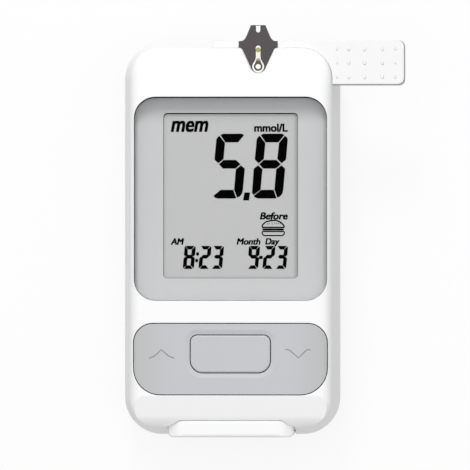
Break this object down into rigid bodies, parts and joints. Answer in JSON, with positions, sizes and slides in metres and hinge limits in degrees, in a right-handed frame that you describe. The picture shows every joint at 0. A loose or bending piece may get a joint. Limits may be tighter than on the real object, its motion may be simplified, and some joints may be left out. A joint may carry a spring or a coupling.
{
  "type": "blood glucose meter",
  "caption": "Handheld blood glucose meter with a recessed display, a rocker key round a middle key, a slide-off battery door and a test strip in its port.",
  "frame": {"origin": "middle of the flat back, on the fixed floor of the rear cover just past the battery door's inner end", "axes": "+X to the reader's right, +Y towards the strip end, +Z out of the display; the meter lies on its back"},
  "size_m": [0.0679, 0.099, 0.0201],
  "materials": {
    "shell_white": "fine satin gloss",
    "lens_clear": "clear, polished",
    "mask_grey": "satin, printed",
    "display_grey": "reflective display",
    "holder_white": "matt",
    "elastomer": "matt",
    "key_grey": "satin",
    "silicone": "matt",
    "steel": "plain",
    "board_green": "solder mask",
    "chip_black": "matt",
    "gold": "plated",
    "cell_sleeve": "plain sleeve",
    "strip_white": "satin",
    "film_dark": "printed film"
  },
  "bodies": {
    "housing": {"front_cover": "shell_white", "rear_cover": "shell_white", "display_lens": "lens_clear", "display_mask": "mask_grey", "display_glass": "display_grey", "glass_holder": "holder_white", "elastomer_connectors": "elastomer", "key_mat": "silicone", "snap_domes": "steel", "circuit_board": "board_green", "processor_chip": "chip_black", "radio_module": "steel", "buzzer": "chip_black", "strip_connector": "chip_black", "contact_springs": "gold", "battery_cell_left": "cell_sleeve", "battery_cell_right": "cell_sleeve", "battery_plates": "steel", "battery_springs": "steel", "housing_screws": "steel"},
    "rocker": {"rocker_key": "key_grey"},
    "middle_key": {"middle_key": "key_grey"},
    "battery_door": {"battery_door": "shell_white"},
    "test_strip": {"strip_body": "strip_white", "strip_film": "film_dark", "strip_electrodes": "gold"}
  },
  "joints": [
    {"name": "rocker_tilt", "type": "hinge", "parent": "housing", "child": "rocker", "pos_m": [0, -0.02775, 0.0179], "axis": [0, 1, 0], "range_deg": [-1.3, 1.3], "stiffness_Nm_per_rad": 1.2, "deforming": ["key_mat"]},
    {"name": "middle_key_press", "type": "slide", "parent": "housing", "child": "middle_key", "axis": [0, 0, -1], "range_m": [0, 0.0004], "stiffness_N_per_m": 5000, "deforming": ["key_mat"]},
    {"name": "battery_door_slide", "type": "slide", "parent": "housing", "child": "battery_door", "axis": [0, -1, 0], "range_m": [0, 0.05]},
    {"name": "strip_slide", "type": "slide", "parent": "housing", "child": "test_strip", "axis": [0, 1, 0], "range_m": [0, 0.015]}
  ]
}
